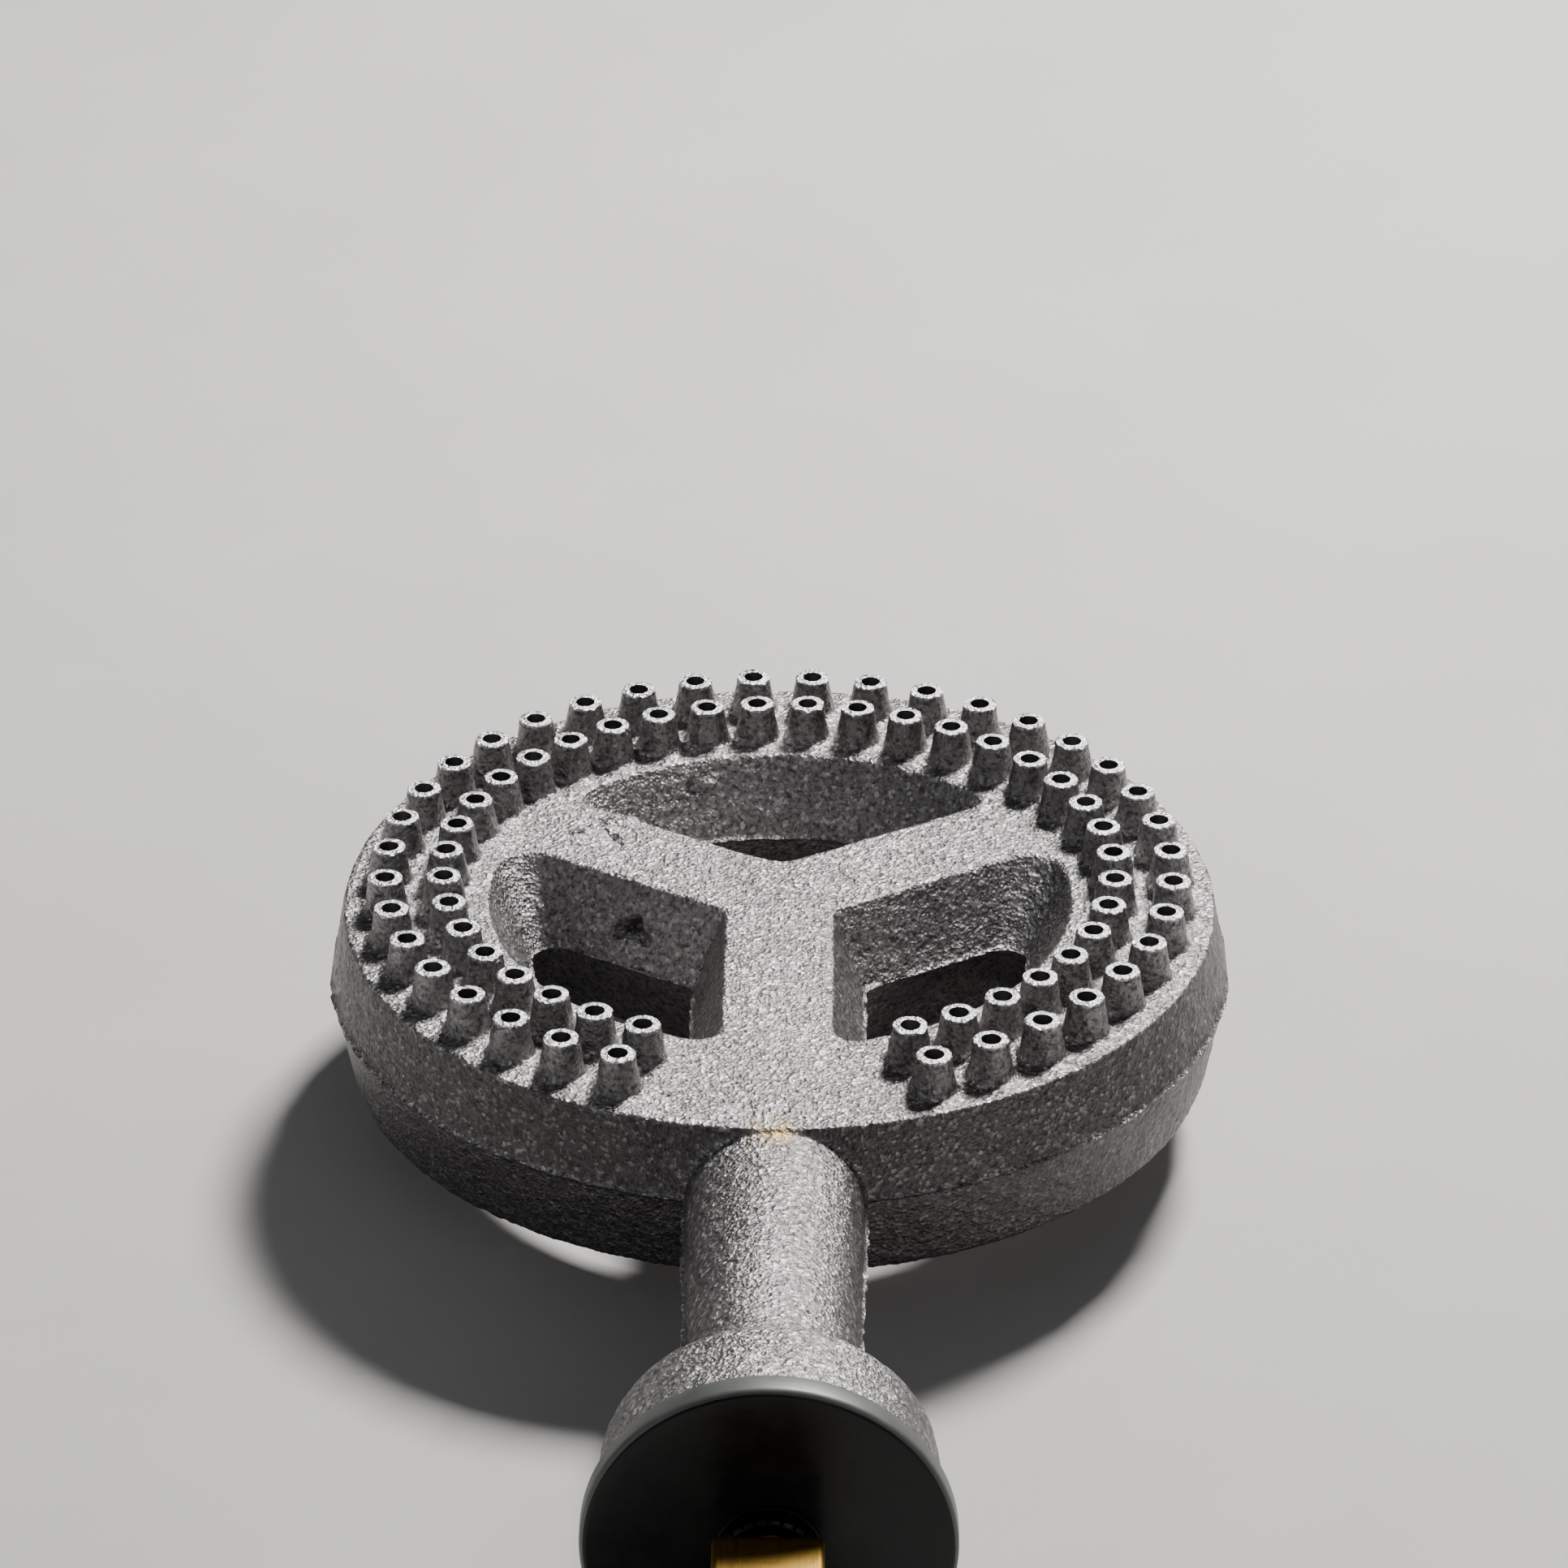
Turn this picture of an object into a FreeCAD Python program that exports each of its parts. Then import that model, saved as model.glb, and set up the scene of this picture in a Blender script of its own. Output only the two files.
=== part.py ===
"""Raised-port ring burner with a cast mixing tube, a screw-type air shutter and a brass orifice holder.

Frame: +Z up, -Y towards the gas inlet. The origin is the ring's centre on its flat underside.
"""

import FreeCAD
import Part

import math
import os

Vector = FreeCAD.Vector

# Mould: the casting has two halves that meet at the parting plane, with drafted walls above and below it.
UNDERSIDE_Z = 0.0
PARTING_Z = 18.3
TOP_Z = PARTING_Z + 15.5
WALL = 4.0

# Ring
RING_TOP_R = 88.6
RING_PARTING_R = 91.5
RING_UNDERSIDE_R = 88.0

# Spokes: a Y whose three arms leave one hub. The rear arms rise this far from the X axis.
HUB_Y = 1.0
REAR_SPOKE_DEG = 31.0

# Window outlines at the three levels. arc_r is the ring's inner radius, rear_half and front_half are the
# spokes' half widths, and the rest are corner radii: the back window's V and tips, and the front windows'
# corners at the hub, at the rear spoke's outer end and at the front.
TOP_OUTLINE = {
    "arc_r": 60.0, "rear_half": 10.8, "front_half": 11.0,
    "v_r": 8.0, "tip_r": 4.0, "hub_r": 3.0, "shoulder_r": 7.5, "foot_r": 4.5,
}
PARTING_OUTLINE = {
    "arc_r": 51.4, "rear_half": 19.0, "front_half": 17.5,
    "v_r": 5.0, "tip_r": 2.5, "hub_r": 2.0, "shoulder_r": 5.0, "foot_r": 3.0,
}
UNDERSIDE_OUTLINE = {
    "arc_r": 59.0, "rear_half": 12.0, "front_half": 12.0,
    "v_r": 8.0, "tip_r": 4.0, "hub_r": 3.0, "shoulder_r": 7.0, "foot_r": 4.5,
}
FRONT_ARC_CENTRE_Y = 1.5
FRONT_ARC_STEP = -0.5

# Gas ports: two rows of cast conical bosses at the same angles, with a gap at the front over the tube.
PORT_ROWS_R = (68.2, 80.0)
PORT_STEP_DEG = 9.0
PORTS_PER_ROW = 36
PORT_BASE_R = 4.8
PORT_TIP_R = 3.5
PORT_TIP_Z = PARTING_Z + 23.4
PORT_HOLE_R = 2.0

# Mixing tube: oval where it leaves the ring, round at the bell. Rows are y, half width, half height.
TUBE_SECTIONS = (
    (-62.0, 17.6, 14.6),
    (-92.0, 17.5, 14.7),
    (-115.0, 17.2, 15.2),
    (-138.0, 16.5, 15.8),
    (-156.0, 16.3, 16.2),
)
TUBE_WALL = 4.2
THROAT_R = 11.4
THROAT_Y = -150.0
THROAT_STEP = 0.5
THROAT_LAP = 6.0

# Bell mouth
BELL_Y = -198.0
BELL_BAND_Y = -181.0
BELL_R = 31.8
BELL_INNER_R = 28.4

# Spider in the bell mouth: a tapped hub on three arms
SPIDER_FRONT_Y = -194.0
SPIDER_BACK_Y = -184.0
SPIDER_HUB_R = 10.5
SPIDER_ARM_W = 5.0
SPIDER_ARMS_DEG = (90.0, 210.0, 330.0)

# Core holes in the ring's floor, each closed by a flush plug
CORE_HOLE_R = 6.6
CORE_BOSS_R = 10.5
CORE_BOSS_H = 7.0
CORE_CENTRES_R = 73.5
CORE_PLACES_DEG = {"rear": 90.0, "left": 200.0, "right": 340.0}
PLUG_RECESS = 0.6
PLUG_H = 6.0
PLUG_CHAMFER = 0.6
PLUG_SOCKET_AF = 6.35
PLUG_SOCKET_DEPTH = 4.0

# Orifice holder: square brass bar, turned down to a threaded spud (1/2-20 thread)
HOLDER_SIDE = 20.0
HOLDER_BACK_Y = -214.5
HOLDER_FRONT_Y = -248.5
HOLDER_EDGE_R = 1.0
SPUD_R = 6.35
SPUD_END_Y = -172.0
GAS_BORE_R = 3.2
INLET_R = 5.8
INLET_DEPTH = 14.0
KEYWAY_W = 2.4
KEYWAY_DEPTH = 1.0
KEYWAY_BACK_Y = -196.0

# Pressure tap in the holder's underside, closed by a plug
TAP_Y = -229.0
TAP_R = 4.3
TAP_BORE_R = 1.5
TAP_PLUG_RECESS = 0.3
TAP_PLUG_H = 5.0
TAP_SOCKET_AF = 4.76
TAP_SOCKET_DEPTH = 3.2

# Fasteners on the spud behind the spider
LOCK_WASHER_R = 10.0
LOCK_WASHER_T = 1.2
JAM_NUT_AF = 19.05
JAM_NUT_T = 4.8
JAM_NUT_CHAMFER_DEG = 30.0

# Orifice hood, screwed on the spud's end
HOOD_AF = 14.3
HOOD_HEX_LEN = 9.0
HOOD_NOSE_LEN = 6.0
HOOD_NOSE_R = 2.6
HOOD_CAVITY_R = 4.6
HOOD_TIP_WALL = 1.6
JET_R = 0.9

# Air shutter
DISC_R = 34.0
DISC_BACK_Y = -199.5
DISC_T = 5.5
DISC_FRONT_EDGE_R = 1.6
DISC_BACK_EDGE_R = 0.5
THREAD_CLEARANCE = 0.05
KEY_WASHER_R = 9.7
KEY_WASHER_T = 1.0
KEY_CLEARANCE = 0.1
LOCK_NUT_R = 9.5
LOCK_NUT_T = 4.0
LOCK_NUT_GROOVES = 24
LOCK_NUT_GROOVE_R = 0.6
LOCK_NUT_EDGE = 0.5

EXTRA = 1.0  # how far a cutting shape runs past the face it cuts


def polar(radius, degrees, z=0.0):
    angle = math.radians(degrees)
    return Vector(radius * math.cos(angle), radius * math.sin(angle), z)


def cylinder_y(radius, y_low, y_high):
    """A cylinder on the tube's axis."""
    return Part.makeCylinder(radius, y_high - y_low, Vector(0, y_low, PARTING_Z), Vector(0, 1, 0))


def tube_y(outer_r, inner_r, y_low, y_high):
    return cylinder_y(outer_r, y_low, y_high).cut(cylinder_y(inner_r, y_low - EXTRA, y_high + EXTRA))


def hexagon_y(across_flats, y_low, y_high, chamfer_deg=0.0):
    """A hexagonal bar on the tube's axis, with flats above and below, and both ends chamfered if asked."""
    corner_r = across_flats / math.sqrt(3)
    corners = [polar(corner_r, 60 * i) for i in range(7)]
    points = [Vector(c.x, y_low, PARTING_Z + c.y) for c in corners]
    bar = Part.Face(Part.makePolygon(points)).extrude(Vector(0, y_high - y_low, 0))
    if not chamfer_deg:
        return bar
    drop = (corner_r - across_flats / 2) * math.tan(math.radians(chamfer_deg))
    profile = [(y_low, 0), (y_low, across_flats / 2), (y_low + drop, corner_r), (y_high - drop, corner_r)]
    profile += [(y_high, across_flats / 2), (y_high, 0)]
    return bar.common(revolve_y(profile))


def revolve_y(profile):
    """Turns a closed outline of (y, radius) points round the tube's axis."""
    points = [Vector(0, y, PARTING_Z + radius) for y, radius in profile]
    face = Part.Face(Part.makePolygon(points + points[:1]))
    return face.revolve(Vector(0, 0, PARTING_Z), Vector(0, 1, 0), 360)


def revolve_z(profile):
    """Turns a closed outline of (radius, z) points round the ring's axis."""
    points = [Vector(radius, 0, z) for radius, z in profile]
    face = Part.Face(Part.makePolygon(points + points[:1]))
    return face.revolve(Vector(0, 0, 0), Vector(0, 0, 1), 360)


def line_side(normal_deg, through, half_width):
    """A straight side: the points whose distance along the normal is at least the side's own."""
    normal = polar(1, normal_deg)
    return ("line", normal, normal.dot(through) + half_width)


def arc_side(centre_y, radius):
    """A side on the ring's inner wall: the points within a radius of a centre."""
    return ("arc", Vector(0, centre_y, 0), radius)


def corner(side_a, side_b, radius):
    """Rounded corner between two sides: its centre, and the points where it meets each side."""
    lines = [side for side in (side_a, side_b) if side[0] == "line"]
    if len(lines) == 2:
        (_, n1, d1), (_, n2, d2) = lines
        d1 += radius
        d2 += radius
        det = n1.x * n2.y - n1.y * n2.x
        centre = Vector((d1 * n2.y - d2 * n1.y) / det, (n1.x * d2 - n2.x * d1) / det, 0)
    else:
        _, normal, offset = lines[0]
        _, arc_centre, arc_r = side_a if side_a[0] == "arc" else side_b
        offset += radius - normal.dot(arc_centre)
        along = Vector(-normal.y, normal.x, 0)
        reach = math.sqrt((arc_r - radius) ** 2 - offset**2)
        # The sides run anticlockwise round the window, so the arc follows one line and leads the other.
        sign = -1 if side_a[0] == "line" else 1
        centre = arc_centre + normal * offset + along * (reach * sign)

    def foot(side):
        if side[0] == "arc":
            away = centre - side[1]
            return side[1] + away * (side[2] / away.Length)
        return centre - side[1] * radius

    return centre, foot(side_a), foot(side_b)


def window_wire(window, z):
    """The closed outline of a window at one level: (side, radius of the corner after it), anticlockwise."""
    count = len(window)
    corners = [corner(window[i][0], window[(i + 1) % count][0], window[i][1]) for i in range(count)]
    lift = Vector(0, 0, z)
    edges = []
    for i in range(count):
        centre, start, end = corners[i]
        towards = (start + end) * 0.5 - centre
        middle = centre + towards * (window[i][1] / towards.Length)
        edges.append(Part.Arc(start + lift, middle + lift, end + lift).toShape())
        side = window[(i + 1) % count][0]
        finish = corners[(i + 1) % count][1]
        if side[0] == "arc":
            halfway = (end + finish) * 0.5 - side[1]
            middle = side[1] + halfway * (side[2] / halfway.Length)
            edges.append(Part.Arc(end + lift, middle + lift, finish + lift).toShape())
        else:
            edges.append(Part.LineSegment(end + lift, finish + lift).toShape())
    return Part.Wire(edges)


def windows_at(outline, wall):
    """The back, right and left windows at one level, moved outwards into the metal by a wall."""
    hub = Vector(0, HUB_Y, 0)
    rear = outline["rear_half"] - wall
    front = outline["front_half"] - wall
    back_arc = arc_side(0, outline["arc_r"] + wall)
    front_arc = arc_side(FRONT_ARC_CENTRE_Y, outline["arc_r"] + FRONT_ARC_STEP + wall)
    up_right = line_side(90 + REAR_SPOKE_DEG, hub, rear)
    up_left = line_side(90 - REAR_SPOKE_DEG, hub, rear)
    down_right = line_side(REAR_SPOKE_DEG - 90, hub, rear)
    down_left = line_side(270 - REAR_SPOKE_DEG, hub, rear)
    front_right = line_side(0, hub, front)
    front_left = line_side(180, hub, front)
    v_r, tip_r, hub_r, shoulder_r, foot_r = (
        outline[key] + wall for key in ("v_r", "tip_r", "hub_r", "shoulder_r", "foot_r")
    )
    return (
        ((up_right, tip_r), (back_arc, tip_r), (up_left, v_r)),
        ((down_right, hub_r), (front_right, foot_r), (front_arc, shoulder_r)),
        ((front_left, hub_r), (down_left, shoulder_r), (front_arc, foot_r)),
    )


def outline_at(level_a, level_b, z_a, z_b, z):
    """The window outline at height z on the straight draft between two levels."""
    share = (z - z_a) / (z_b - z_a)
    return {key: level_a[key] + (level_b[key] - level_a[key]) * share for key in level_a}


def window_halves(wall, z_low, z_high):
    """Drafted solids through the three windows, each in two halves that meet at the parting plane."""
    halves = []
    spans = ((TOP_OUTLINE, TOP_Z, z_high), (UNDERSIDE_OUTLINE, UNDERSIDE_Z, z_low))
    for outline, level_z, z_end in spans:
        end_outline = outline_at(PARTING_OUTLINE, outline, PARTING_Z, level_z, z_end)
        for near, far in zip(windows_at(PARTING_OUTLINE, wall), windows_at(end_outline, wall)):
            halves.append(Part.makeLoft([window_wire(near, PARTING_Z), window_wire(far, z_end)], True, True))
    return halves


def disc_body(inset):
    """The ring's outside filled to its centre. An inset makes the gas space inside it."""
    slope_up = (RING_TOP_R - RING_PARTING_R) / (TOP_Z - PARTING_Z)
    slope_down = (RING_UNDERSIDE_R - RING_PARTING_R) / (PARTING_Z - UNDERSIDE_Z)
    low = UNDERSIDE_Z + inset
    high = TOP_Z - inset
    widest = RING_PARTING_R - inset
    at_high = widest + slope_up * (high - PARTING_Z)
    at_low = widest + slope_down * (PARTING_Z - low)
    return revolve_z([(0, low), (at_low, low), (widest, PARTING_Z), (at_high, high), (0, high)])


def oval_y(y, half_width, half_height):
    """An oval outline across the tube."""
    curve = Part.Ellipse(Vector(0, y, PARTING_Z), half_width, half_height)
    shape = curve.toShape()
    shape.rotate(Vector(0, y, PARTING_Z), Vector(1, 0, 0), 90)
    return Part.Wire([shape])


def port_angles():
    """Angles from the X axis. The rows are centred on the back and leave the front open."""
    first = -(PORTS_PER_ROW - 1) / 2
    return [90 - PORT_STEP_DEG * (first + i) for i in range(PORTS_PER_ROW)]


def port_bosses():
    root_z = TOP_Z - WALL / 2
    slope = (PORT_BASE_R - PORT_TIP_R) / (PORT_TIP_Z - TOP_Z)
    root_r = PORT_BASE_R + slope * (TOP_Z - root_z)
    bosses = []
    for row_r in PORT_ROWS_R:
        for angle in port_angles():
            place = polar(row_r, angle, root_z)
            bosses.append(Part.makeCone(root_r, PORT_TIP_R, PORT_TIP_Z - root_z, place))
    return bosses


def port_holes():
    low = TOP_Z - WALL - EXTRA
    holes = []
    for row_r in PORT_ROWS_R:
        for angle in port_angles():
            holes.append(Part.makeCylinder(PORT_HOLE_R, PORT_TIP_Z + EXTRA - low, polar(row_r, angle, low)))
    return holes


def bell_outside():
    """The flare from the tube to the rim, closed to the axis."""
    start_y, _, start_r = TUBE_SECTIONS[-1]
    flare = Part.BSplineCurve()
    points = [(start_y + 9, start_r - 2.2), (start_y - 1, start_r + 0.5), (-166.0, 19.5), (-173.0, 25.5)]
    points += [(-177.5, 29.6), (BELL_BAND_Y, BELL_R - 0.8)]
    flare.interpolate([Vector(0, y, PARTING_Z + r) for y, r in points])
    first_y = points[0][0]
    rim = [(BELL_BAND_Y, BELL_R - 0.8), (BELL_Y, BELL_R), (BELL_Y, 0), (first_y, 0), points[0]]
    line = Part.makePolygon([Vector(0, y, PARTING_Z + r) for y, r in rim])
    face = Part.Face(Part.Wire([flare.toShape()] + line.Edges))
    return face.revolve(Vector(0, 0, PARTING_Z), Vector(0, 1, 0), 360)


def mixer_inside():
    """The bell's mouth, the throat and the slow widening to the ring, as one space."""
    flare = Part.BSplineCurve()
    points = [(BELL_Y - EXTRA, BELL_INNER_R + 0.1), (-187.0, 27.4), (-177.0, 22.6), (-167.0, 16.2)]
    points += [(-158.0, 13.0), (THROAT_Y, THROAT_R + THROAT_STEP)]
    flare.interpolate([Vector(0, y, PARTING_Z + r) for y, r in points])
    ends = [points[-1], (THROAT_Y, 0), (BELL_Y - EXTRA, 0), points[0]]
    line = Part.makePolygon([Vector(0, y, PARTING_Z + r) for y, r in ends])
    mouth = Part.Face(Part.Wire([flare.toShape()] + line.Edges)).revolve(
        Vector(0, 0, PARTING_Z), Vector(0, 1, 0), 360
    )
    head_y, head_half_w, head_half_h = TUBE_SECTIONS[0]
    inside = [
        oval_y(head_y, head_half_w - TUBE_WALL, head_half_h - TUBE_WALL),
        oval_y(THROAT_Y - THROAT_LAP, THROAT_R + 0.05, THROAT_R),
    ]
    return mouth.fuse(Part.makeLoft(inside, True, True))


def spider():
    """Three arms that carry the tapped hub in the bell's mouth."""
    parts = [cylinder_y(SPIDER_HUB_R, SPIDER_FRONT_Y, SPIDER_BACK_Y)]
    for angle in SPIDER_ARMS_DEG:
        arm = Part.makeBox(
            BELL_INNER_R + EXTRA,
            SPIDER_BACK_Y - SPIDER_FRONT_Y - 2.0,
            SPIDER_ARM_W,
            Vector(0, SPIDER_FRONT_Y + 1.0, PARTING_Z - SPIDER_ARM_W / 2),
        )
        arm.rotate(Vector(0, 0, PARTING_Z), Vector(0, -1, 0), angle)
        parts.append(arm)
    joined = parts[0].multiFuse(parts[1:])
    return joined.common(cylinder_y(BELL_INNER_R + EXTRA, SPIDER_FRONT_Y, SPIDER_BACK_Y))


def burner_casting():
    # Outside
    windows = window_halves(0.0, UNDERSIDE_Z - EXTRA, TOP_Z + EXTRA)
    tube = Part.makeLoft([oval_y(*section) for section in TUBE_SECTIONS], True, False)
    body = disc_body(0.0).cut(windows)
    body = body.multiFuse([tube, bell_outside()])
    # The gas space: the ring and the Y between the windows, then the tube and bell
    gallery = disc_body(WALL).cut(window_halves(WALL, UNDERSIDE_Z, TOP_Z))
    bosses = []
    for angle in CORE_PLACES_DEG.values():
        bosses.append(Part.makeCylinder(CORE_BOSS_R, CORE_BOSS_H, polar(CORE_CENTRES_R, angle)))
    gallery = gallery.cut(bosses)
    body = body.cut([gallery, mixer_inside()])
    body = body.fuse(spider())
    # Ports, core holes and the hub's thread
    body = body.multiFuse(port_bosses())
    cuts = port_holes()
    cuts.append(cylinder_y(SPUD_R, SPIDER_FRONT_Y - EXTRA, SPIDER_BACK_Y + EXTRA))
    for angle in CORE_PLACES_DEG.values():
        place = polar(CORE_CENTRES_R, angle, -EXTRA)
        cuts.append(Part.makeCylinder(CORE_HOLE_R, CORE_BOSS_H + 2 * EXTRA, place))
    return body.cut(cuts)


def socket_plug(radius, height, socket_af, socket_depth, chamfer):
    """A flush plug standing on its mouth: the hexagon socket opens downwards."""
    plug = Part.makeCylinder(radius, height)
    plug = plug.makeChamfer(chamfer, [edge for edge in plug.Edges if len(edge.Vertexes) == 1])
    corners = [polar(socket_af / math.sqrt(3), 60 * i) for i in range(7)]
    socket = Part.Face(Part.makePolygon(corners)).extrude(Vector(0, 0, socket_depth))
    return plug.cut(socket)


def core_plug(angle):
    plug = socket_plug(CORE_HOLE_R, PLUG_H, PLUG_SOCKET_AF, PLUG_SOCKET_DEPTH, PLUG_CHAMFER)
    plug.translate(polar(CORE_CENTRES_R, angle, UNDERSIDE_Z + PLUG_RECESS))
    return plug


def orifice_holder():
    half = HOLDER_SIDE / 2
    block = Part.makeBox(
        HOLDER_SIDE,
        HOLDER_BACK_Y - HOLDER_FRONT_Y,
        HOLDER_SIDE,
        Vector(-half, HOLDER_FRONT_Y, PARTING_Z - half),
    )
    block = block.makeFillet(HOLDER_EDGE_R, block.Edges)
    spud = cylinder_y(SPUD_R, HOLDER_BACK_Y - EXTRA, SPUD_END_Y)
    holder = block.fuse(spud)
    holder = holder.cut(cylinder_y(GAS_BORE_R, HOLDER_FRONT_Y, SPUD_END_Y + EXTRA))
    holder = holder.cut(cylinder_y(INLET_R, HOLDER_FRONT_Y - EXTRA, HOLDER_FRONT_Y + INLET_DEPTH))
    keyway = Part.makeBox(
        KEYWAY_W,
        KEYWAY_BACK_Y - HOLDER_BACK_Y,
        KEYWAY_DEPTH + EXTRA,
        Vector(-KEYWAY_W / 2, HOLDER_BACK_Y, PARTING_Z - SPUD_R - EXTRA),
    )
    below = Vector(0, TAP_Y, PARTING_Z - half - EXTRA)
    tap = Part.makeCylinder(TAP_R, TAP_PLUG_RECESS + TAP_PLUG_H + EXTRA, below)
    tap_bore = Part.makeCylinder(TAP_BORE_R, half + EXTRA, below)
    return holder.cut([keyway, tap, tap_bore])


def pressure_tap_plug():
    plug = socket_plug(TAP_R, TAP_PLUG_H, TAP_SOCKET_AF, TAP_SOCKET_DEPTH, PLUG_CHAMFER)
    plug.translate(Vector(0, TAP_Y, PARTING_Z - HOLDER_SIDE / 2 + TAP_PLUG_RECESS))
    return plug


def spud_lock_washer():
    return tube_y(LOCK_WASHER_R, SPUD_R, SPIDER_BACK_Y, SPIDER_BACK_Y + LOCK_WASHER_T)


def spud_jam_nut():
    back = SPIDER_BACK_Y + LOCK_WASHER_T
    nut = hexagon_y(JAM_NUT_AF, back, back + JAM_NUT_T, JAM_NUT_CHAMFER_DEG)
    return nut.cut(cylinder_y(SPUD_R, back - EXTRA, back + JAM_NUT_T + EXTRA))


def orifice_hood():
    """A hexagon cap on the spud's end, with a conical nose and the metering hole at its tip."""
    foot = SPIDER_BACK_Y + LOCK_WASHER_T + JAM_NUT_T
    shoulder = foot + HOOD_HEX_LEN
    tip = shoulder + HOOD_NOSE_LEN
    nose = Part.makeCone(
        HOOD_AF / 2, HOOD_NOSE_R, HOOD_NOSE_LEN, Vector(0, shoulder, PARTING_Z), Vector(0, 1, 0)
    )
    hood = hexagon_y(HOOD_AF, foot, shoulder, JAM_NUT_CHAMFER_DEG).fuse(nose)
    cavity = Part.makeCone(
        HOOD_CAVITY_R,
        JET_R,
        tip - HOOD_TIP_WALL - SPUD_END_Y,
        Vector(0, SPUD_END_Y, PARTING_Z),
        Vector(0, 1, 0),
    )
    thread = cylinder_y(SPUD_R, foot - EXTRA, SPUD_END_Y)
    jet = cylinder_y(JET_R, SPUD_END_Y, tip + EXTRA)
    return hood.cut([thread, cavity, jet])


def at_y(edge, y):
    """True for an edge that lies in the plane at y."""
    box = edge.BoundBox
    return max(abs(box.YMin - y), abs(box.YMax - y)) < 0.01


def air_shutter_disc():
    front = DISC_BACK_Y - DISC_T
    disc = cylinder_y(DISC_R, front, DISC_BACK_Y)
    for rim_y, edge_r in ((front, DISC_FRONT_EDGE_R), (DISC_BACK_Y, DISC_BACK_EDGE_R)):
        disc = disc.makeFillet(edge_r, [edge for edge in disc.Edges if at_y(edge, rim_y)])
    return disc.cut(cylinder_y(SPUD_R + THREAD_CLEARANCE, front - EXTRA, DISC_BACK_Y + EXTRA))


def shutter_key_washer():
    back = DISC_BACK_Y - DISC_T
    washer = tube_y(KEY_WASHER_R, SPUD_R + THREAD_CLEARANCE, back - KEY_WASHER_T, back)
    key = Part.makeBox(
        KEYWAY_W - 2 * KEY_CLEARANCE,
        KEY_WASHER_T,
        KEYWAY_DEPTH + 2 * EXTRA,
        Vector(-KEYWAY_W / 2 + KEY_CLEARANCE, back - KEY_WASHER_T, 0),
    )
    key.translate(Vector(0, 0, PARTING_Z - SPUD_R - KEY_CLEARANCE - 2 * EXTRA))
    return washer.fuse(key).removeSplitter()


def shutter_lock_nut():
    """A round nut with a fluted edge for the fingers."""
    back = DISC_BACK_Y - DISC_T - KEY_WASHER_T
    front = back - LOCK_NUT_T
    profile = [(front, 0), (front, LOCK_NUT_R - LOCK_NUT_EDGE), (front + LOCK_NUT_EDGE, LOCK_NUT_R)]
    profile += [(back - LOCK_NUT_EDGE, LOCK_NUT_R), (back, LOCK_NUT_R - LOCK_NUT_EDGE), (back, 0)]
    nut = revolve_y(profile)
    cuts = [cylinder_y(SPUD_R + THREAD_CLEARANCE, front - EXTRA, back + EXTRA)]
    for i in range(LOCK_NUT_GROOVES):
        place = polar(LOCK_NUT_R, 360 / LOCK_NUT_GROOVES * i)
        start = Vector(place.x, front - EXTRA, PARTING_Z + place.y)
        cuts.append(Part.makeCylinder(LOCK_NUT_GROOVE_R, LOCK_NUT_T + 2 * EXTRA, start, Vector(0, 1, 0)))
    return nut.cut(cuts)


def all_nodes():
    nodes = {"burner_casting": burner_casting()}
    for place, angle in CORE_PLACES_DEG.items():
        nodes["core_plug_" + place] = core_plug(angle)
    nodes["orifice_holder"] = orifice_holder()
    nodes["pressure_tap_plug"] = pressure_tap_plug()
    nodes["spud_lock_washer"] = spud_lock_washer()
    nodes["spud_jam_nut"] = spud_jam_nut()
    nodes["orifice_hood"] = orifice_hood()
    nodes["air_shutter_disc"] = air_shutter_disc()
    nodes["shutter_key_washer"] = shutter_key_washer()
    nodes["shutter_lock_nut"] = shutter_lock_nut()
    return nodes


os.makedirs("parts", exist_ok=True)
for name, shape in all_nodes().items():
    box = shape.BoundBox
    print(name, shape.isValid(), len(shape.Solids), round(shape.Volume, 1),
          [round(v, 2) for v in (box.XMin, box.YMin, box.ZMin, box.XMax, box.YMax, box.ZMax)])
    shape.exportStep("parts/" + name + ".step")
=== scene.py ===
"""Looks of the ring burner: cast iron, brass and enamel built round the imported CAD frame, in metres."""

import math
import random

import bmesh
import bpy
import numpy as np
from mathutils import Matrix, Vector, noise


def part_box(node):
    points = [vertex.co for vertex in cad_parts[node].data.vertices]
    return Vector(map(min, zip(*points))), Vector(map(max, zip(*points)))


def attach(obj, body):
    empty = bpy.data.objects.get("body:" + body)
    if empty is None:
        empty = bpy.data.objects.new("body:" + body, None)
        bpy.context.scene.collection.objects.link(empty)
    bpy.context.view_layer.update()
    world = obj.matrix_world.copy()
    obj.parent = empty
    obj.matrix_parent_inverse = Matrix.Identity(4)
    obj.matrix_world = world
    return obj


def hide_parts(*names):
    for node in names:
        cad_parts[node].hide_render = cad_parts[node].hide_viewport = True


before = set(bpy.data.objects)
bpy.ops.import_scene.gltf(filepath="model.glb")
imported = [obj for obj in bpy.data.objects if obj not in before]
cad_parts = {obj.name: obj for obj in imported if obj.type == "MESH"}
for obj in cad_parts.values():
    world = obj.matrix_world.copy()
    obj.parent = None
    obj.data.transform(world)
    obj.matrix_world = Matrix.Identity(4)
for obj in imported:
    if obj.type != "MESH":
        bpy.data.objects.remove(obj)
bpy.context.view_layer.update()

MM = 0.001

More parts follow.
